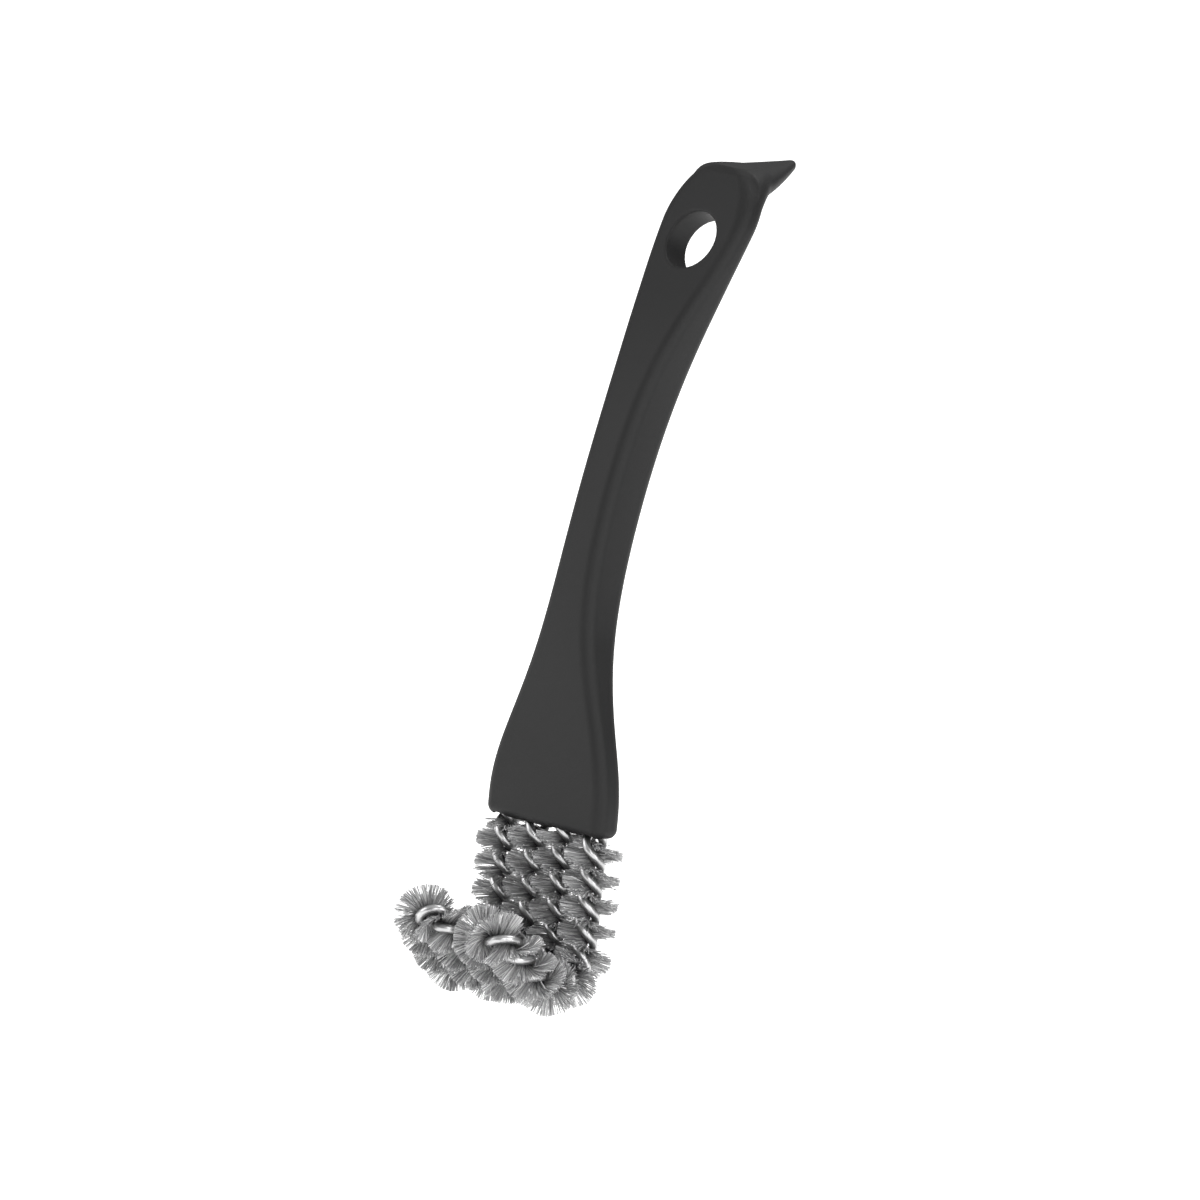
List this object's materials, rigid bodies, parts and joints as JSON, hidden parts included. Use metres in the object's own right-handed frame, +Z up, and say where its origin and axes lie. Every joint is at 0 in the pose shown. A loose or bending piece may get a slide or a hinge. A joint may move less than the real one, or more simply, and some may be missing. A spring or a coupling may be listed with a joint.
{
  "type": "crevice brush",
  "caption": "Hand brush for narrow gaps: a bowed moulded handle with a hanging hole and a beak at its top holds folded twisted-wire brushes that end in a forward hook.",
  "frame": {"origin": "middle of the hanging hole, halfway through the paddle", "axes": "+X to the right seen from the front, +Y to the back where the beak points, +Z up along the straight part of the brushes; the hook points to the front"},
  "size_m": [0.054, 0.1151, 0.2457],
  "materials": {
    "handle_plastic": "fine moulded grain, matte charcoal",
    "stem_wire": "drawn wire, bright",
    "bristles": "fine wire, dull"
  },
  "bodies": {
    "root": {"handle": "handle_plastic", "right_wire_a": "stem_wire", "right_wire_b": "stem_wire", "left_wire_a": "stem_wire", "left_wire_b": "stem_wire", "right_outer_column_bristles": "bristles", "right_inner_column_bristles": "bristles", "left_inner_column_bristles": "bristles", "left_outer_column_bristles": "bristles", "right_outer_bend_bristles": "bristles", "right_inner_bend_bristles": "bristles", "left_inner_bend_bristles": "bristles", "left_outer_bend_bristles": "bristles", "right_outer_rise_bristles": "bristles", "right_inner_rise_bristles": "bristles", "left_inner_rise_bristles": "bristles", "left_outer_rise_bristles": "bristles", "right_tip_bristles": "bristles", "left_tip_bristles": "bristles"}
  },
  "joints": []
}
